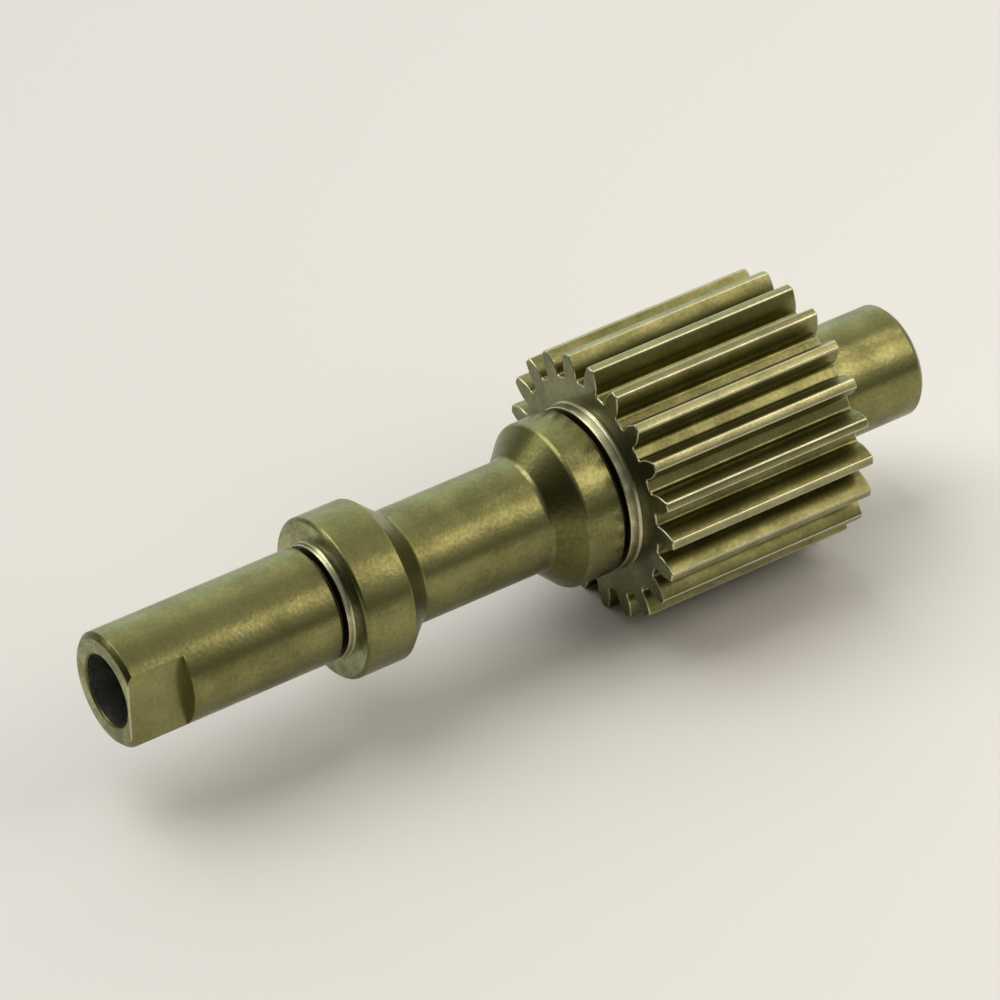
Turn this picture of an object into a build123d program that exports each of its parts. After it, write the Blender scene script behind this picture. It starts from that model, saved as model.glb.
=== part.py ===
from build123d import *
import math
import os

# A one-piece idler gear shaft, turned from bar with its teeth cut into the same metal.
# It lies as it comes to rest: the axis level along X, the bored end towards -X and clear of
# the ground, and the space between two teeth straight down.
# The origin is on the axis, at the middle of the teeth. Lengths are in millimetres.

# Teeth: full-depth involutes on a blank that is turned slightly under its nominal diameter
module_size = 1.25
tooth_count = 21
pressure_angle = 20.0
dedendum_in_modules = 1.25
blank_undersize = 0.25
backlash = 0.10
root_fillet = 0.45
face_width = 24.45

# Diameters along the shaft, from the bored end to the far end
near_journal_diameter = 12.0
collar_diameter = 17.0
neck_diameter = 12.0
seat_diameter = 17.5
far_journal_diameter = 12.0

# Lengths along the shaft; a land is the short step between a relief groove and its shoulder
near_journal_length = 23.2
near_land_length = 0.7
collar_length = 5.5
neck_length = 15.0
seat_length = 3.9
seat_land_length = 1.2
far_land_length = 0.7
far_journal_length = 11.2

# The collar's taper and the seat's cone, as angles from the axis, and their roundings
collar_taper_angle = 42.0
cone_angle = 45.0
collar_edge_chamfer = 0.3
neck_fillet = 0.8
cone_crown_radius = 0.7
near_end_chamfer = 0.5
far_end_chamfer = 0.6

# Grinding relief beside each shoulder: a groove with leaning walls, and a run-up after its land
relief_width = 0.8
relief_depth = 0.85
relief_wall_lean = 0.15
shoulder_run_up = 0.2

# Blind bore and driving flat at the near end
bore_diameter = 7.4
bore_depth = 22.0
bore_point_angle = 118.0
bore_mouth_chamfer = 0.25
flat_to_axis = 4.25
flat_length = 6.3

# How far a cutting tool runs past the metal that it takes away
overrun = 1.0

near_journal_radius = near_journal_diameter / 2
collar_radius = collar_diameter / 2
neck_radius = neck_diameter / 2
seat_radius = seat_diameter / 2
far_journal_radius = far_journal_diameter / 2
bore_radius = bore_diameter / 2

pitch_radius = module_size * tooth_count / 2
base_radius = pitch_radius * math.cos(math.radians(pressure_angle))
blank_radius = pitch_radius + module_size - blank_undersize / 2
root_radius = pitch_radius - module_size * dedendum_in_modules

# Places along X, worked outwards from the gear's two faces
gear_front = -face_width / 2
seat_groove_end = gear_front - seat_land_length
seat_groove_start = seat_groove_end - relief_width
cone_top = seat_groove_start - seat_length
cone_foot = cone_top - (seat_radius - neck_radius) / math.tan(math.radians(cone_angle))
taper_foot = cone_foot - neck_length
taper_length = (collar_radius - neck_radius) / math.tan(math.radians(collar_taper_angle))
collar_back = taper_foot - taper_length
collar_face = collar_back - collar_length
near_groove_end = collar_face - near_land_length
near_groove_start = near_groove_end - relief_width
near_end = near_groove_start - near_journal_length
gear_back = face_width / 2
far_groove_start = gear_back + far_land_length
far_groove_end = far_groove_start + relief_width
far_end = far_groove_end + far_journal_length


def relief(start, end, radius):
    """Corners of a relief groove between two places along the axis."""
    floor = radius - relief_depth
    return [
        (start, radius, 0),
        (start + relief_wall_lean, floor, 0),
        (end - relief_wall_lean, floor, 0),
        (end, radius, 0),
    ]


def half_section(corners):
    """Face between the axis and a run of corners, each an (x, radius, rounding)."""
    points = [(x, radius) for x, radius, rounding in corners]
    axis_points = [(points[-1][0], 0), (points[0][0], 0)]
    section = make_face(Polyline(*points, *axis_points, close=True)).face()
    for x, radius, rounding in corners:
        if rounding > 0:
            corner = section.vertices().sort_by_distance((x, radius, 0))[0]
            section = section.fillet_2d(rounding, [corner])
    return section


def turned_blank():
    """The shaft as it leaves the lathe, with a plain band where the teeth will be."""
    corners = [
        (near_end, near_journal_radius - near_end_chamfer, 0),
        (near_end + near_end_chamfer, near_journal_radius, 0),
        *relief(near_groove_start, near_groove_end, near_journal_radius),
        (collar_face - shoulder_run_up, near_journal_radius, 0),
        (collar_face, near_journal_radius + shoulder_run_up, 0),
        (collar_face, collar_radius - collar_edge_chamfer, 0),
        (collar_face + collar_edge_chamfer, collar_radius, 0),
        (collar_back, collar_radius, 0),
        (taper_foot, neck_radius, neck_fillet),
        (cone_foot, neck_radius, neck_fillet),
        (cone_top, seat_radius, cone_crown_radius),
        *relief(seat_groove_start, seat_groove_end, seat_radius),
        (gear_front - shoulder_run_up, seat_radius, 0),
        (gear_front, seat_radius + shoulder_run_up, 0),
        (gear_front, blank_radius, 0),
        (gear_back, blank_radius, 0),
        (gear_back, far_journal_radius + shoulder_run_up, 0),
        (gear_back + shoulder_run_up, far_journal_radius, 0),
        *relief(far_groove_start, far_groove_end, far_journal_radius),
        (far_end - far_end_chamfer, far_journal_radius, 0),
        (far_end, far_journal_radius - far_end_chamfer, 0),
    ]
    return revolve(half_section(corners), axis=Axis.X)


def blind_bore():
    """The drilled hole: a mouth chamfer, a straight wall and a drill's point."""
    point_length = bore_radius / math.tan(math.radians(bore_point_angle / 2))
    mouth_radius = bore_radius + bore_mouth_chamfer
    outline = Polyline(
        (near_end - overrun, 0),
        (near_end - overrun, mouth_radius),
        (near_end, mouth_radius),
        (near_end + bore_mouth_chamfer, bore_radius),
        (near_end + bore_depth, bore_radius),
        (near_end + bore_depth + point_length, 0),
        close=True,
    )
    return revolve(make_face(outline), axis=Axis.X)


def driving_flat():
    """The block of metal milled off one side of the near end, up to a square shoulder."""
    depth = near_journal_radius - flat_to_axis + overrun
    block = Box(
        flat_length + overrun,
        depth,
        near_journal_diameter + 2 * overrun,
        align=(Align.MIN, Align.MAX, Align.CENTER),
    )
    return Pos(near_end - overrun, -flat_to_axis, 0) * block


def involute_function(angle):
    """The involute of an angle in radians, itself in radians."""
    return math.tan(angle) - angle


def half_space_angle(radius):
    """Half the angle of a tooth space at a radius, in radians; it widens outwards."""
    at_pitch = math.pi / (2 * tooth_count) + backlash / (2 * pitch_radius)
    roll = math.acos(min(1.0, base_radius / radius))
    return at_pitch + involute_function(roll) - involute_function(math.radians(pressure_angle))


def space_point(radius, side):
    """A point on one flank of the space that opens straight down; side is -1 or 1."""
    angle = half_space_angle(radius)
    return (side * radius * math.sin(angle), -radius * math.cos(angle))


def tooth_space():
    """The metal that the cutter takes between two teeth: involute flanks and a round root."""
    flank_start = max(base_radius, root_radius)
    flank_end = blank_radius + overrun / 2
    flank_steps = 4
    radii = [
        flank_start + (flank_end - flank_start) * step / flank_steps
        for step in range(flank_steps + 1)
    ]
    root_half_angle = half_space_angle(flank_start)
    root_x = root_radius * math.sin(root_half_angle)
    root_y = -root_radius * math.cos(root_half_angle)
    edges = [
        ThreePointArc((-root_x, root_y), (0, -root_radius), (root_x, root_y)),
        Line(space_point(flank_end, -1), space_point(flank_end, 1)),
    ]
    for side in (-1, 1):
        edges.append(Spline(*[space_point(radius, side) for radius in radii]))
        if root_radius < base_radius:
            edges.append(Line((side * root_x, root_y), space_point(flank_start, side)))
    outline = make_face(edges).face()
    corners = outline.vertices().sort_by_distance((0, -root_radius, 0))[0:2]
    outline = outline.fillet_2d(min(root_fillet, root_x * 0.9), corners)
    start = Plane.YZ.offset(gear_front - overrun)
    return extrude(start * outline, amount=face_width + 2 * overrun)


def gear_shaft():
    """The finished piece: the turned blank less its bore, its flat and every tooth space."""
    space = tooth_space()
    spaces = [Rotation(360 * index / tooth_count, 0, 0) * space for index in range(tooth_count)]
    return turned_blank() - blind_bore() - driving_flat() - spaces


os.makedirs("parts", exist_ok=True)
export_step(gear_shaft(), "parts/gear_shaft.step")
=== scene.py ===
import math
import bmesh
import bpy
from mathutils import Matrix, Vector


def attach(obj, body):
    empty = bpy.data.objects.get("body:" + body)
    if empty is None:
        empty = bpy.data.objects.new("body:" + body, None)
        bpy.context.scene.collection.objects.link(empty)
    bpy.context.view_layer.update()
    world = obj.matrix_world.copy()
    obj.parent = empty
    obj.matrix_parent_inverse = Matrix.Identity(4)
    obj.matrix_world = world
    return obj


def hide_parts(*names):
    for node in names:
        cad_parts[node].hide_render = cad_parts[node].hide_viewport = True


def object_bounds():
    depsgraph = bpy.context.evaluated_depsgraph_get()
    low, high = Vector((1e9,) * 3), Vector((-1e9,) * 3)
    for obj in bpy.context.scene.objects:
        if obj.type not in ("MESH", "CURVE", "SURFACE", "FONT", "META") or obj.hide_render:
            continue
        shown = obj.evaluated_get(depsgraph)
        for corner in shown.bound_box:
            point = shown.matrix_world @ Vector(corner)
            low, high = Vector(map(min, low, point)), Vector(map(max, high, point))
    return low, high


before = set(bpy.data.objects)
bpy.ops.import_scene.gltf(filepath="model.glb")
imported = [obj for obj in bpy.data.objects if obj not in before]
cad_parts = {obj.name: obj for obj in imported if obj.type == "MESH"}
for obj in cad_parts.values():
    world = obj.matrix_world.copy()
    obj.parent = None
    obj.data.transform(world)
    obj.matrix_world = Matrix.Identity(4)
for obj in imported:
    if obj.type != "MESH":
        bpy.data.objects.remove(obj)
cad_low, cad_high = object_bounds()

# The shaft, from the drill's point inside its bored end up to the front of the gear.
# It is steel bar turned between centres, and its journal, collar and ring seat are ground
# afterwards. Its sizes are in millimetres.
mm = 0.001
journal_radius = 6.0
collar_radius = 8.5
neck_radius = 6.0
seat_radius = 8.75
bore_radius = 3.7
bore_depth = 22.0
drill_point_length = 2.04
near_end_chamfer = 0.5
bore_mouth_chamfer = 0.25
collar_chamfer = 0.3
shoulder_run_up = 0.2
groove_width = 0.8
groove_depth = 0.85
groove_wall_lean = 0.15
neck_fillet = 0.8
crown_fillet = 0.7
taper_angle = 42
cone_angle = 45

# Lengths along the shaft; a land is the short step between a relief groove and its shoulder
near_journal_length = 23.2
near_land_length = 0.7
collar_length = 5.5
taper_length = 2.7765
neck_length = 15.0
cone_length = 2.75
seat_length = 3.9
seat_land_length = 1.2
gear_width = 24.45

# Places along the axis, from the middle of the teeth
gear_front = -gear_width / 2
seat_groove_end = gear_front - seat_land_length
seat_groove_start = seat_groove_end - groove_width
cone_top = seat_groove_start - seat_length
cone_foot = cone_top - cone_length
taper_foot = cone_foot - neck_length
collar_back = taper_foot - taper_length
collar_face = collar_back - collar_length
near_groove_end = collar_face - near_land_length
near_groove_start = near_groove_end - groove_width
near_end = near_groove_start - near_journal_length

# One more ring, just past the driving flat, keeps the flat's cut out of the long facets behind
# it. A small closing ring is filled by one face, at the drill's point and at the far end.
facets_round = 168
flat_length = 6.3
flat_end = near_end + flat_length
past_flat = 0.15
closing_radius = 0.3

# A rounding is how far from its corner it starts, and the steps that it is made in
sharp = (0, 0)
lead_edge = (0.05, 2)
mouth_edge = (0.06, 2)
tool_corner = (0.08, 2)
broken_edge = (0.10, 2)
rubbed_edge = (0.12, 3)
fillet_steps = 6


def fillet(radius, angle):
    """The rounding that makes a fillet of that radius where the metal turns by that angle."""
    return (radius * math.tan(math.radians(angle / 2)), fillet_steps)


def groove(outside, inside, radius):
    """Corners of a relief groove with leaning walls, whose inside edge is towards a shoulder."""
    lean = math.copysign(groove_wall_lean, inside - outside)
    return [
        (outside, radius, mouth_edge),
        (outside + lean, radius - groove_depth, tool_corner),
        (inside - lean, radius - groove_depth, tool_corner),
        (inside, radius, broken_edge),
    ]


neck_to_taper = fillet(neck_fillet, taper_angle)
neck_to_cone = fillet(neck_fillet, cone_angle)
cone_crown = fillet(crown_fillet, cone_angle)
shaft_corners = [
    (near_end + bore_depth + drill_point_length, closing_radius, sharp),
    (near_end + bore_depth, bore_radius, sharp),
    (near_end + bore_mouth_chamfer, bore_radius, sharp),
    (near_end, bore_radius + bore_mouth_chamfer, mouth_edge),
    (near_end, journal_radius - near_end_chamfer, broken_edge),
    (near_end + near_end_chamfer, journal_radius, lead_edge),
    (flat_end + past_flat, journal_radius, sharp),
    *groove(near_groove_start, near_groove_end, journal_radius),
    (collar_face - shoulder_run_up, journal_radius, tool_corner),
    (collar_face, journal_radius + shoulder_run_up, tool_corner),
    (collar_face, collar_radius - collar_chamfer, broken_edge),
    (collar_face + collar_chamfer, collar_radius, broken_edge),
    (collar_back, collar_radius, rubbed_edge),
    (taper_foot, neck_radius, neck_to_taper),
    (cone_foot, neck_radius, neck_to_cone),
    (cone_top, seat_radius, cone_crown),
    *groove(seat_groove_start, seat_groove_end, seat_radius),
    (gear_front - shoulder_run_up, seat_radius, tool_corner),
    (gear_front, seat_radius + shoulder_run_up, sharp),
]


def turn(name, corners):
    """Turn a piece about the X axis: a ring that is drawn out and resized from corner to corner."""
    place, radius, _ = corners[0]
    bpy.ops.object.select_all(action="DESELECT")
    bpy.ops.mesh.primitive_circle_add(
        vertices=facets_round,
        radius=radius * mm,
        location=(place * mm, 0, 0),
        rotation=(0, math.pi / 2, 0),
    )
    piece = bpy.context.object
    piece.name = name
    bpy.ops.object.transform_apply(location=True, rotation=True, scale=False)
    bpy.ops.object.mode_set(mode="EDIT")
    bpy.ops.mesh.select_all(action="SELECT")
    for next_place, next_radius, _ in corners[1:]:
        step = (next_place - place) * mm
        bpy.ops.mesh.extrude_edges_move(TRANSFORM_OT_translate={"value": (step, 0, 0)})
        growth = next_radius / radius
        bpy.ops.transform.resize(value=(1, growth, growth), center_override=(next_place * mm, 0, 0))
        place, radius = next_place, next_radius
    bpy.ops.object.mode_set(mode="OBJECT")
    return piece


def open_for_edit(piece, kind):
    """Go to edit mode on this piece alone, with no vertex, edge or face of it picked."""
    bpy.ops.object.select_all(action="DESELECT")
    bpy.context.view_layer.objects.active = piece
    piece.select_set(True)
    bpy.ops.object.mode_set(mode="EDIT")
    bpy.ops.mesh.select_mode(type=kind)
    bpy.ops.mesh.select_all(action="DESELECT")
    return bmesh.from_edit_mesh(piece.data)


def pick_edges(piece, wanted):
    """Go to edit mode with only those edges picked whose two ends pass the test."""
    mesh = open_for_edit(piece, "EDGE")
    for edge in mesh.edges:
        if all(wanted(corner.co / mm) for corner in edge.verts):
            edge.select_set(True)
    mesh.select_flush_mode()
    bmesh.update_edit_mesh(piece.data)


# A point this near to a place, in millimetres, is on it
slack = 0.002


def on_ring(place, radius):
    """A test for points on the circle of that radius at that place along the axis."""
    def on_it(point):
        from_circle = math.hypot(point.y, point.z) - radius
        return abs(point.x - place) < slack and abs(from_circle) < slack

    return on_it


def close_ring(piece, place):
    """Fill the small ring that is left open at that place."""
    pick_edges(piece, on_ring(place, closing_radius))
    bpy.ops.mesh.edge_face_add()
    bpy.ops.object.mode_set(mode="OBJECT")


def round_corners(piece, corners):
    """Give every turned corner its rounding."""
    for place, radius, (reach, steps) in corners:
        if reach > 0:
            pick_edges(piece, on_ring(place, radius))
            bpy.ops.mesh.bevel(offset=reach * mm, segments=steps, affect="EDGES", clamp_overlap=False)
            bpy.ops.object.mode_set(mode="OBJECT")


shaft = turn("gear_shaft_finished", shaft_corners)
close_ring(shaft, near_end + bore_depth + drill_point_length)
round_corners(shaft, shaft_corners)


# The finishes of the shaft's steel, which is bare, oiled and a little yellow.
# Each clouds between two tones, over the fine grain of the metal and the rings or lines that
# its own tool left round the axis.
def steel_finish(name, dark, light, roughness, grain, marks):
    """Steel between a dark and a light colour.

    The grain and the tool marks are each given as a size and a height in millimetres.
    """
    grain_size, grain_height = grain
    marks_size, marks_height = marks
    cloud_size = 3.5
    cloud_share = 0.8
    grain_share = 0.5
    marks_share = 0.1
    darkest_tone = 0.5
    lightest_tone = 0.9
    roughness_swing = 0.05

    # The marks lie nearly as close over an end face as along the shaft, and change on their way round
    feed_over_faces = 0.8
    change_round = 5

    finish = bpy.data.materials.new(name)
    finish.use_nodes = True
    nodes, links = finish.node_tree.nodes, finish.node_tree.links
    surface = nodes["Principled BSDF"]
    surface.inputs["Metallic"].default_value = 1
    place = nodes.new("ShaderNodeTexCoord").outputs["Object"]

    def share_and_add(value, share, rest):
        total = nodes.new("ShaderNodeMath")
        total.operation = "MULTIPLY_ADD"
        links.new(value, total.inputs[0])
        total.inputs[1].default_value = share
        links.new(rest, total.inputs[2])
        return total.outputs[0]

    # Directions round the axis, and a feed that grows along the shaft and out over its faces
    apart = nodes.new("ShaderNodeSeparateXYZ")
    links.new(place, apart.inputs[0])
    outwards = nodes.new("ShaderNodeCombineXYZ")
    links.new(apart.outputs["Y"], outwards.inputs["Y"])
    links.new(apart.outputs["Z"], outwards.inputs["Z"])
    from_axis = nodes.new("ShaderNodeVectorMath")
    from_axis.operation = "LENGTH"
    links.new(outwards.outputs[0], from_axis.inputs[0])
    turned_way = nodes.new("ShaderNodeVectorMath")
    turned_way.operation = "NORMALIZE"
    links.new(outwards.outputs[0], turned_way.inputs[0])
    feed = share_and_add(from_axis.outputs["Value"], feed_over_faces, apart.outputs["X"])
    along_feed = nodes.new("ShaderNodeCombineXYZ")
    links.new(feed, along_feed.inputs["X"])
    around = nodes.new("ShaderNodeVectorMath")
    around.operation = "SCALE"
    links.new(turned_way.outputs[0], around.inputs[0])
    around.inputs["Scale"].default_value = change_round
    stretched = nodes.new("ShaderNodeVectorMath")
    stretched.operation = "MULTIPLY_ADD"
    links.new(along_feed.outputs[0], stretched.inputs[0])
    stretched.inputs[1].default_value = (1 / (marks_size * mm), 0, 0)
    links.new(around.outputs[0], stretched.inputs[2])

    def noise(coordinates, scale, detail):
        texture = nodes.new("ShaderNodeTexNoise")
        links.new(coordinates, texture.inputs["Vector"])
        texture.inputs["Scale"].default_value = scale
        texture.inputs["Detail"].default_value = detail
        return texture.outputs["Fac"]

    clouds = noise(place, 1 / (cloud_size * mm), detail=3)
    specks = noise(place, 1 / (grain_size * mm), detail=2)
    tool_marks = noise(stretched.outputs[0], 1, detail=3)

    # Colour: slow clouds of oil and wear, broken up by the specks and the tool marks
    lines = nodes.new("ShaderNodeMath")
    lines.operation = "MULTIPLY"
    links.new(tool_marks, lines.inputs[0])
    lines.inputs[1].default_value = marks_share
    fine_tone = share_and_add(specks, grain_share, lines.outputs[0])
    tone = share_and_add(clouds, cloud_share, fine_tone)

    def spread(value, low, high):
        change = nodes.new("ShaderNodeMapRange")
        links.new(value, change.inputs["Value"])
        change.inputs["From Min"].default_value = darkest_tone
        change.inputs["From Max"].default_value = lightest_tone
        change.inputs["To Min"].default_value = low
        change.inputs["To Max"].default_value = high
        return change.outputs["Result"]

    colour = nodes.new("ShaderNodeMix")
    colour.data_type = "RGBA"
    colour.inputs["A"].default_value = (*dark, 1)
    colour.inputs["B"].default_value = (*light, 1)
    links.new(spread(tone, 0, 1), colour.inputs["Factor"])
    links.new(colour.outputs["Result"], surface.inputs["Base Color"])
    dull_to_bright = spread(tone, roughness + roughness_swing, roughness - roughness_swing)
    links.new(dull_to_bright, surface.inputs["Roughness"])

    # Relief: the marks that the tool left round the shaft, then the fine grain over them
    marks_relief = nodes.new("ShaderNodeBump")
    links.new(tool_marks, marks_relief.inputs["Height"])
    marks_relief.inputs["Strength"].default_value = 1
    marks_relief.inputs["Distance"].default_value = marks_height * mm
    grain_relief = nodes.new("ShaderNodeBump")
    links.new(specks, grain_relief.inputs["Height"])
    grain_relief.inputs["Strength"].default_value = 1
    grain_relief.inputs["Distance"].default_value = grain_height * mm
    links.new(marks_relief.outputs["Normal"], grain_relief.inputs["Normal"])
    links.new(grain_relief.outputs["Normal"], surface.inputs["Normal"])
    return finish


def coat_picked(piece, finish):
    """Give a finish to the faces that are picked in edit mode."""
    piece.active_material_index = piece.data.materials.find(finish.name)
    bpy.ops.object.material_slot_assign()


def give_finish(piece, finish, wanted):
    """Give a finish to the faces whose middle, in millimetres, and normal pass the test."""
    if finish.name not in piece.data.materials:
        piece.data.materials.append(finish)
    mesh = open_for_edit(piece, "FACE")
    for face in mesh.faces:
        face.select_set(wanted(face.calc_center_median() / mm, face.normal))
    bmesh.update_edit_mesh(piece.data)
    coat_picked(piece, finish)
    bpy.ops.object.mode_set(mode="OBJECT")


def everywhere(middle, normal):
    """A test that every face passes."""
    return True


def between(start, end):
    """A test for faces whose middle lies between two places along the axis."""
    return lambda middle, normal: start < middle.x < end


# The cosine of how far an end face may lean from square
nearly_square = 0.98


def square_to_axis(middle, normal):
    """A test for end faces."""
    return abs(normal.x) > nearly_square


def on_end_chamfers(middle, normal):
    """A test for the near end's outer chamfer and the mouth of its bore."""
    from_axis = math.hypot(middle.y, middle.z)
    on_end_face = bore_radius + bore_mouth_chamfer < from_axis < journal_radius - near_end_chamfer
    return middle.x < near_end + near_end_chamfer - lead_edge[0] and not on_end_face


def in_bore(middle, normal):
    """A test for the drilled wall and the drill's point."""
    from_axis = math.hypot(middle.y, middle.z)
    return from_axis < bore_radius + slack and middle.x > near_end + bore_mouth_chamfer


turned = steel_finish(
    "turned_steel", dark=(0.15, 0.144, 0.053), light=(0.26, 0.248, 0.097),
    roughness=0.33, grain=(0.42, 0.020), marks=(0.18, 0.005),
)
# Lighter, greener steel on the end faces: a painted reflection, over clouds of wear
face_wear_and_painted_reflection = steel_finish(
    "faced_steel_and_painted_reflection", dark=(0.15, 0.155, 0.073), light=(0.42, 0.43, 0.21),
    roughness=0.36, grain=(0.38, 0.010), marks=(0.35, 0.022),
)
ground = steel_finish(
    "ground_steel", dark=(0.16, 0.153, 0.057), light=(0.27, 0.256, 0.101),
    roughness=0.30, grain=(0.42, 0.020), marks=(0.14, 0.003),
)
# Darker steel on the cone and the near end's chamfers: painted shade that stands in for dark
# reflections there
cone_and_chamfer_painted_shade = steel_finish(
    "cone_steel_painted_shade", dark=(0.11, 0.105, 0.036), light=(0.2, 0.19, 0.068),
    roughness=0.34, grain=(0.42, 0.020), marks=(0.18, 0.005),
)
# Nearly black steel in the relief grooves: painted shade in the recesses
groove_painted_shade = steel_finish(
    "groove_steel_painted_shade", dark=(0.03, 0.028, 0.012), light=(0.06, 0.055, 0.025),
    roughness=0.45, grain=(0.35, 0.003), marks=(0.10, 0.004),
)
# Pale steel on the lands and the deburred edges: partly wear, partly a painted highlight
wear_and_painted_highlight = steel_finish(
    "burnished_steel_and_painted_highlight", dark=(0.42, 0.395, 0.24), light=(0.58, 0.55, 0.36),
    roughness=0.28, grain=(0.35, 0.002), marks=(0.10, 0.002),
)
drilled = steel_finish(
    "bore_steel", dark=(0.48, 0.49, 0.45), light=(0.7, 0.72, 0.68),
    roughness=0.26, grain=(0.5, 0.004), marks=(0.30, 0.01),
)

# The painted shade of a groove starts this far out on its ground edge, and ends this far inside
# the edge of its land, where the pale steel of wear and painted highlight begins
ground_lip = 0.01
land_lip = 0.05
give_finish(shaft, turned, everywhere)
# End faces get the lighter steel that paints a reflection there
give_finish(shaft, face_wear_and_painted_reflection, square_to_axis)
give_finish(shaft, ground, between(near_end + near_end_chamfer + lead_edge[0], near_groove_start))
give_finish(shaft, ground, between(collar_face + collar_chamfer + land_lip, collar_back - land_lip))
give_finish(shaft, ground, between(cone_top + cone_crown[0], seat_groove_start))
# The cone and the near end's chamfers get the darker steel of painted shade
give_finish(shaft, cone_and_chamfer_painted_shade, between(cone_foot + neck_to_cone[0], cone_top - cone_crown[0]))
give_finish(shaft, cone_and_chamfer_painted_shade, on_end_chamfers)
give_finish(shaft, groove_painted_shade, between(near_groove_start - ground_lip, near_groove_end - land_lip))
give_finish(shaft, groove_painted_shade, between(seat_groove_start - ground_lip, seat_groove_end - land_lip))
# The lands beside the grooves get the pale steel: wear and a painted highlight
give_finish(shaft, wear_and_painted_highlight, between(near_groove_end - land_lip, collar_face - land_lip))
give_finish(shaft, wear_and_painted_highlight, between(seat_groove_end - land_lip, gear_front - land_lip))
give_finish(shaft, drilled, in_bore)

# The far journal, turned and ground in the same setting as the rest of the shaft.
# It leaves the back of the gear through a relief groove and ends in a plain chamfered face.
far_land_length = 0.7
far_journal_length = 11.2
gear_back = gear_width / 2
far_groove_start = gear_back + far_land_length
far_groove_end = far_groove_start + groove_width
far_end = far_groove_end + far_journal_length
far_end_chamfer = 0.6
far_end_edge = (0.14, 2)
far_corners = [
    (gear_back, journal_radius + shoulder_run_up, sharp),
    (gear_back + shoulder_run_up, journal_radius, tool_corner),
    *reversed(groove(far_groove_end, far_groove_start, journal_radius)),
    (far_end - far_end_chamfer, journal_radius, far_end_edge),
    (far_end, journal_radius - far_end_chamfer, far_end_edge),
    (far_end, closing_radius, sharp),
]
stub = turn("far_journal_finished", far_corners)
close_ring(stub, far_end)
round_corners(stub, far_corners)
give_finish(stub, turned, everywhere)
give_finish(stub, face_wear_and_painted_reflection, square_to_axis)
give_finish(stub, ground, between(far_groove_end, far_end - far_end_chamfer - far_end_edge[0]))
# Painted shade in the far groove, and wear with a painted highlight on its land
give_finish(stub, groove_painted_shade, between(far_groove_start + land_lip, far_groove_end + ground_lip))
give_finish(stub, wear_and_painted_highlight, between(gear_back + land_lip, far_groove_start + land_lip))

# The gear's 21 teeth, cut into the shaft's own metal by a hob, with involute flanks.
# Their ends are open on both faces of the gear, and every sharp edge is lightly deburred.
module_size = 1.25
tooth_count = 21
pressure_angle = math.radians(20)
dedendum_in_modules = 1.25
blank_undersize = 0.25
backlash = 0.10
pitch_radius = module_size * tooth_count / 2
base_radius = pitch_radius * math.cos(pressure_angle)
blank_radius = pitch_radius + module_size - blank_undersize / 2
root_radius = pitch_radius - module_size * dedendum_in_modules
flank_steps = 6
root_rounding = 0.36
root_rounding_steps = 4
deburr_reach = 0.14
deburr_steps = 2
deburr_angle = math.radians(35)
weld = 0.002


def half_space_angle(radius):
    """Half the angle of the space between two teeth at a radius; it widens outwards."""
    roll = math.acos(min(1.0, base_radius / radius))
    at_pitch = math.pi / (2 * tooth_count) + backlash / (2 * pitch_radius)
    return at_pitch + math.tan(roll) - roll - math.tan(pressure_angle) + pressure_angle


def space_point(radius, angle):
    """A point at the front of the gear, that angle round from straight down."""
    return (gear_front * mm, radius * mm * math.sin(angle), -radius * mm * math.cos(angle))


def draw_points(name, points):
    """Draw a chain of edges: one point that is drawn out to the next, and the next."""
    bpy.ops.object.select_all(action="DESELECT")
    bpy.ops.mesh.primitive_plane_add(size=mm, location=(0, 0, 0))
    piece = bpy.context.object
    piece.name = name
    bpy.ops.object.mode_set(mode="EDIT")
    bpy.ops.mesh.select_all(action="SELECT")
    bpy.ops.mesh.merge(type="CENTER")
    bpy.ops.mesh.select_all(action="SELECT")
    bpy.ops.transform.translate(value=points[0])
    last = points[0]
    for point in points[1:]:
        step = Vector(point) - Vector(last)
        bpy.ops.mesh.extrude_vertices_move(TRANSFORM_OT_translate={"value": step})
        last = point
    bpy.ops.object.mode_set(mode="OBJECT")
    return piece


# Half of one space, from the middle of its root up a flank to the middle of a tooth's tip
flank_radii = [
    base_radius + (blank_radius - base_radius) * step / flank_steps
    for step in range(flank_steps + 1)
]
root_corner = space_point(root_radius, half_space_angle(base_radius))
half_space = [space_point(root_radius, 0), root_corner]
half_space += [space_point(radius, half_space_angle(radius)) for radius in flank_radii]
half_space += [space_point(blank_radius, math.pi / tooth_count)]
teeth = draw_points("teeth_finished", half_space)

# The root's corner is rounded, as the hob's own tip leaves it
outline = open_for_edit(teeth, "VERT")
for corner in outline.verts:
    if (corner.co - Vector(root_corner)).length < slack * mm:
        corner.select_set(True)
bpy.ops.mesh.bevel(
    offset=root_rounding * mm, segments=root_rounding_steps, affect="VERTICES", clamp_overlap=True
)

# The half space is mirrored, repeated round the axis and drawn out to the back of the gear
bpy.ops.mesh.select_all(action="SELECT")
bpy.ops.mesh.duplicate()
bpy.ops.transform.resize(value=(1, -1, 1), center_override=(0, 0, 0))
bpy.ops.mesh.select_all(action="SELECT")
bpy.ops.mesh.remove_doubles(threshold=weld * mm)
bpy.ops.mesh.select_all(action="SELECT")
bpy.ops.mesh.spin(
    steps=tooth_count, dupli=True, angle=2 * math.pi, center=(0, 0, 0), axis=(1, 0, 0)
)
bpy.ops.mesh.select_all(action="SELECT")
bpy.ops.mesh.remove_doubles(threshold=weld * mm)
bpy.ops.mesh.select_all(action="SELECT")
bpy.ops.mesh.extrude_edges_move(
    TRANSFORM_OT_translate={"value": ((gear_back - gear_front) * mm, 0, 0)}
)
bpy.ops.object.mode_set(mode="OBJECT")


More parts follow.
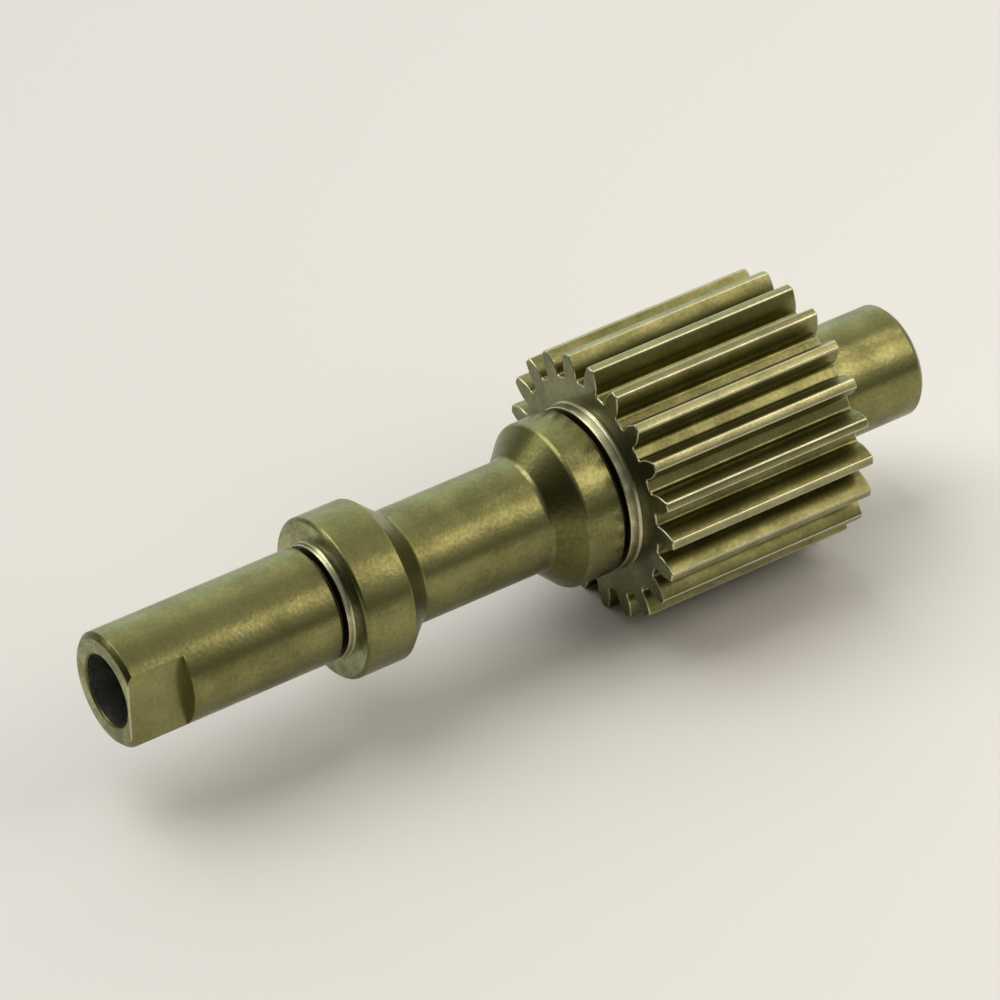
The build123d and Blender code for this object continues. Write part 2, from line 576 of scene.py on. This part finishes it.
def turn_faces_outwards(piece):
    """Make every face of a closed piece point out of the metal."""
    pick_edges(piece, lambda point: True)
    bpy.ops.mesh.normals_make_consistent(inside=False)
    bpy.ops.object.mode_set(mode="OBJECT")


# Both ends are closed for now, so that the edges there are deburred with the rest
for gear_face in (gear_front, gear_back):
    pick_edges(teeth, lambda point: abs(point.x - gear_face) < slack)
    bpy.ops.mesh.edge_face_add()
    bpy.ops.object.mode_set(mode="OBJECT")
turn_faces_outwards(teeth)

hobbed = steel_finish(
    "hobbed_steel", dark=(0.155, 0.146, 0.056), light=(0.27, 0.255, 0.105),
    roughness=0.36, grain=(0.4, 0.010), marks=(0.25, 0.006),
)
# Darker steel on the gear's faces: painted shade
gear_face_painted_shade = steel_finish(
    "gear_face_steel_painted_shade", dark=(0.11, 0.115, 0.055), light=(0.23, 0.235, 0.12),
    roughness=0.36, grain=(0.38, 0.010), marks=(0.35, 0.022),
)
# Lighter steel on the tips of the teeth: partly the turned blank's own finish, partly a painted
# highlight
blank_tips_and_painted_highlight = steel_finish(
    "tip_steel_and_painted_highlight", dark=(0.22, 0.207, 0.095), light=(0.36, 0.34, 0.165),
    roughness=0.32, grain=(0.38, 0.010), marks=(0.12, 0.006),
)


# The middle of a flat facet on a tooth's tip lies inside the blank's radius by less than this
tip_sag = 0.03


def on_tips(middle, normal):
    """A test for the narrow bands of the turned blank that are left on the teeth."""
    return math.hypot(middle.y, middle.z) > blank_radius - tip_sag


give_finish(teeth, hobbed, everywhere)
# The gear's faces get the darker steel of painted shade
give_finish(teeth, gear_face_painted_shade, square_to_axis)
# The tips get the lighter steel: the blank's finish and a painted highlight
give_finish(teeth, blank_tips_and_painted_highlight, on_tips)
# The deburred edges of the teeth get the pale steel: wear and a painted highlight
teeth.data.materials.append(wear_and_painted_highlight)
open_for_edit(teeth, "EDGE")
bpy.ops.mesh.edges_select_sharp(sharpness=deburr_angle)
bpy.ops.mesh.bevel(
    offset=deburr_reach * mm,
    segments=deburr_steps,
    affect="EDGES",
    clamp_overlap=True,
    material=teeth.data.materials.find(wear_and_painted_highlight.name),
)
bpy.ops.object.mode_set(mode="OBJECT")

# The shaft, the teeth and the far journal are one metal, so they are joined into one closed skin.
# The two ends of the teeth are opened again, and the gear's faces are filled from the teeth
# down to the shaft. Each end is the one face there that goes round all the teeth.
caps = open_for_edit(teeth, "FACE")
for face in caps.faces:
    face.select_set(len(face.verts) > 2 * tooth_count)
bmesh.update_edit_mesh(teeth.data)
bpy.ops.mesh.delete(type="ONLY_FACE")
bpy.ops.object.mode_set(mode="OBJECT")

bpy.ops.object.select_all(action="DESELECT")
for part in (stub, teeth, shaft):
    part.select_set(True)
bpy.context.view_layer.objects.active = shaft
bpy.ops.object.join()
for gear_face in (gear_front, gear_back):
    joined = open_for_edit(shaft, "EDGE")
    for edge in joined.edges:
        if edge.is_boundary and abs(edge.verts[0].co.x / mm - gear_face) < slack:
            edge.select_set(True)
    bmesh.update_edit_mesh(shaft.data)
    bpy.ops.mesh.fill(use_beauty=True)
    # The filled gear faces get the darker steel of painted shade
    coat_picked(shaft, gear_face_painted_shade)
    bpy.ops.object.mode_set(mode="OBJECT")
turn_faces_outwards(shaft)

# The driving flat, milled across one side of the bored end up to a square shoulder.
# Its front edge is broken by hand, and its other edges stay as the cutter left them.
flat_to_axis = 4.25
flat_front_break = 0.16
flat_front_steps = 2
flat_weld = 0.02
flat_finish_lap = 0.01
mill_overrun = 2
mill_depth = 4
mill_width = 14
bpy.ops.object.select_all(action="DESELECT")
bpy.ops.mesh.primitive_cube_add(
    size=1,
    location=(
        (near_end + (flat_length - mill_overrun) / 2) * mm,
        (-flat_to_axis - mill_depth / 2) * mm,
        0,
    ),
)
cutter = bpy.context.object
cutter.scale = ((flat_length + mill_overrun) * mm, mill_depth * mm, mill_width * mm)
bpy.ops.object.transform_apply(location=True, rotation=True, scale=True)
mill = shaft.modifiers.new("flat", "BOOLEAN")
mill.operation = "DIFFERENCE"
mill.solver = "EXACT"
mill.object = cutter
bpy.ops.object.select_all(action="DESELECT")
bpy.context.view_layer.objects.active = shaft
shaft.select_set(True)
bpy.ops.object.modifier_apply(modifier=mill.name)
bpy.data.objects.remove(cutter)


def on_flat(point, reach):
    """Whether a point is on the driving flat, or no further than that from it."""
    return abs(point.y + flat_to_axis) < reach and point.x < flat_end + reach


# The slivers that the cutter leaves beside the flat are welded away, and then its front edge
# is broken
pick_edges(shaft, lambda point: on_flat(point, flat_weld))
bpy.ops.mesh.remove_doubles(threshold=flat_weld * mm)
bpy.ops.object.mode_set(mode="OBJECT")
pick_edges(shaft, lambda point: on_flat(point, slack) and abs(point.x - near_end) < slack)
# The broken front edge gets the pale steel: wear and a painted highlight
bpy.ops.mesh.bevel(
    offset=flat_front_break * mm,
    segments=flat_front_steps,
    affect="EDGES",
    clamp_overlap=False,
    material=shaft.data.materials.find(wear_and_painted_highlight.name),
)
bpy.ops.object.mode_set(mode="OBJECT")

milled = steel_finish(
    "milled_steel", dark=(0.21, 0.2, 0.08), light=(0.32, 0.3, 0.125),
    roughness=0.30, grain=(0.35, 0.005), marks=(0.5, 0.002),
)
give_finish(shaft, milled, lambda middle, normal: on_flat(middle, flat_finish_lap))

# Curved metal is shaded smooth, and the flat faces keep crisp edges
smooth_up_to = math.radians(50)
bpy.ops.object.shade_smooth_by_angle(angle=smooth_up_to)
for faced_place in (near_end, collar_face, gear_front, gear_back, far_end):
    pick_edges(shaft, lambda point: abs(point.x - faced_place) < slack)
    bpy.ops.mesh.mark_sharp()
    bpy.ops.object.mode_set(mode="OBJECT")
pick_edges(shaft, lambda point: on_flat(point, slack))
bpy.ops.mesh.mark_sharp()
bpy.ops.object.mode_set(mode="OBJECT")
weighted = shaft.modifiers.new("weighted", "WEIGHTED_NORMAL")
weighted.keep_sharp = True
bpy.ops.object.modifier_apply(modifier=weighted.name)

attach(shaft, "root")
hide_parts("gear_shaft")

# The floor is a sheet of warm white paper with no gloss, laid flat under the part.
# It is six metres wide, so that none of its edges shows.
floor_width = 6
bpy.ops.object.select_all(action="DESELECT")
bpy.ops.mesh.primitive_plane_add(size=floor_width, location=(0, 0, cad_low.z))
floor = bpy.context.object
floor.name = "floor"
paper = bpy.data.materials.new("pale_paper")
paper.use_nodes = True
paper_surface = paper.node_tree.nodes["Principled BSDF"]
paper_surface.inputs["Base Color"].default_value = (0.844, 0.814, 0.774, 1)
paper_surface.inputs["Roughness"].default_value = 0.9
paper_surface.inputs["Specular IOR Level"].default_value = 0.2
floor.data.materials.append(paper)


# Three soft boxes and a broad window overhead. The wide box in front gives the long highlight,
# the one over the gear lights its tips and the far journal, and the one at the back left lights
# the cone. The window lights the floor evenly and gives the soft shadow.
def soft_box(name, direction, distance, width, height, radiance, colour):
    """A lamp like a white cloth box, turned to the part; its distance and size are in metres."""
    direction = Vector(direction).normalized()
    bpy.ops.object.light_add(type="AREA", location=direction * distance)
    box = bpy.context.object
    box.name = name
    box.rotation_euler = direction.to_track_quat("Z", "Y").to_euler()
    box.data.shape = "RECTANGLE"
    box.data.size = width
    box.data.size_y = height
    box.data.energy = radiance * math.pi * width * height
    box.data.color = colour


soft_box(
    "front_box", direction=(0.145, -0.158, 0.212), distance=0.302,
    width=0.17, height=0.14, radiance=2.3, colour=(1.0, 0.9, 0.78),
)
soft_box(
    "end_box", direction=(0.175, -0.012, 0.27), distance=0.322,
    width=0.07, height=0.07, radiance=3.6, colour=(1.0, 0.92, 0.8),
)
soft_box(
    "cone_box", direction=(-0.64, 0.60, 0.475), distance=1.0,
    width=0.3, height=0.3, radiance=2.0, colour=(1.0, 1.0, 1.0),
)

towards_window = Vector((-0.2, 0.38, 0.9))
bpy.ops.object.light_add(type="SUN", location=towards_window)
window = bpy.context.object
window.name = "overhead_window"
window.rotation_euler = towards_window.to_track_quat("Z", "Y").to_euler()
window.data.angle = math.radians(48)
window.data.energy = 1.22

# The room is what the steel mirrors: paler and cooler behind the part, dimmer in the back left
# corner, and nearly black to the left and low in front.
world = bpy.data.worlds.new("room")
bpy.context.scene.world = world
world.use_nodes = True
room_nodes, room_links = world.node_tree.nodes, world.node_tree.links
looking = room_nodes.new("ShaderNodeTexCoord")


def patch(towards, edge, core, outside, inside):
    """A part of the room that goes smoothly from one brightness outside it to another inside.

    The edge and the core are each given as the cosine of their angle from its middle.
    """
    along = room_nodes.new("ShaderNodeVectorMath")
    along.operation = "DOT_PRODUCT"
    along.inputs[1].default_value = Vector(towards).normalized()
    room_links.new(looking.outputs["Generated"], along.inputs[0])
    change = room_nodes.new("ShaderNodeMapRange")
    change.interpolation_type = "SMOOTHSTEP"
    change.inputs["From Min"].default_value = edge
    change.inputs["From Max"].default_value = core
    change.inputs["To Min"].default_value = outside
    change.inputs["To Max"].default_value = inside
    room_links.new(along.outputs["Value"], change.inputs["Value"])
    return change.outputs["Result"]


brightness = patch((0.45, 0.88, 0.05), edge=0.35, core=0.97, outside=0.45, inside=1.2)
dim_corner = patch((-0.45, 0.87, 0.2), edge=0.88, core=0.99, outside=1.0, inside=0.3)
dark_left = patch((-0.87, -0.45, 0.1), edge=0.3, core=0.92, outside=1.0, inside=0.05)
dark_front = patch((0.44, -0.9, -0.1), edge=0.88, core=1.0, outside=1.0, inside=0.1)
for shade in (dim_corner, dark_left, dark_front):
    shaded = room_nodes.new("ShaderNodeMath")
    shaded.operation = "MULTIPLY"
    room_links.new(brightness, shaded.inputs[0])
    room_links.new(shade, shaded.inputs[1])
    brightness = shaded.outputs["Value"]
cool_share = patch((0.35, 0.93, 0.0), edge=0.6, core=1.0, outside=0.0, inside=1.0)
room_tint = room_nodes.new("ShaderNodeMix")
room_tint.data_type = "RGBA"
room_tint.inputs["A"].default_value = (0.98, 0.98, 0.92, 1)
room_tint.inputs["B"].default_value = (0.86, 1.0, 0.96, 1)
room_links.new(cool_share, room_tint.inputs["Factor"])
room_links.new(room_tint.outputs["Result"], room_nodes["Background"].inputs["Color"])
room_links.new(brightness, room_nodes["Background"].inputs["Strength"])

bpy.context.scene.view_settings.view_transform = "Standard"

# The camera stands where the photograph was taken from: to the left of the part and well above
# it, with a long lens, rolled a little. It looks at the neck, just before the cone.
target = Vector((-23.122, 0, 2.937)) * mm
distance = 676.44 * mm
azimuth = math.radians(-32.994)
elevation = math.radians(36.939)
roll = math.radians(-1.628)
back = Vector((
    math.sin(azimuth) * math.cos(elevation),
    -math.cos(azimuth) * math.cos(elevation),
    math.sin(elevation),
))
level_right = Vector((math.cos(azimuth), math.sin(azimuth), 0))
level_up = back.cross(level_right)
right = level_right * math.cos(roll) + level_up * math.sin(roll)
up = level_up * math.cos(roll) - level_right * math.sin(roll)
bpy.ops.object.camera_add()
camera = bpy.context.object
camera.matrix_world = Matrix((
    (right.x, up.x, back.x, target.x + back.x * distance),
    (right.y, up.y, back.y, target.y + back.y * distance),
    (right.z, up.z, back.z, target.z + back.z * distance),
    (0, 0, 0, 1),
))
camera.data.sensor_width = 36
camera.data.lens = 246.586
bpy.context.scene.camera = camera
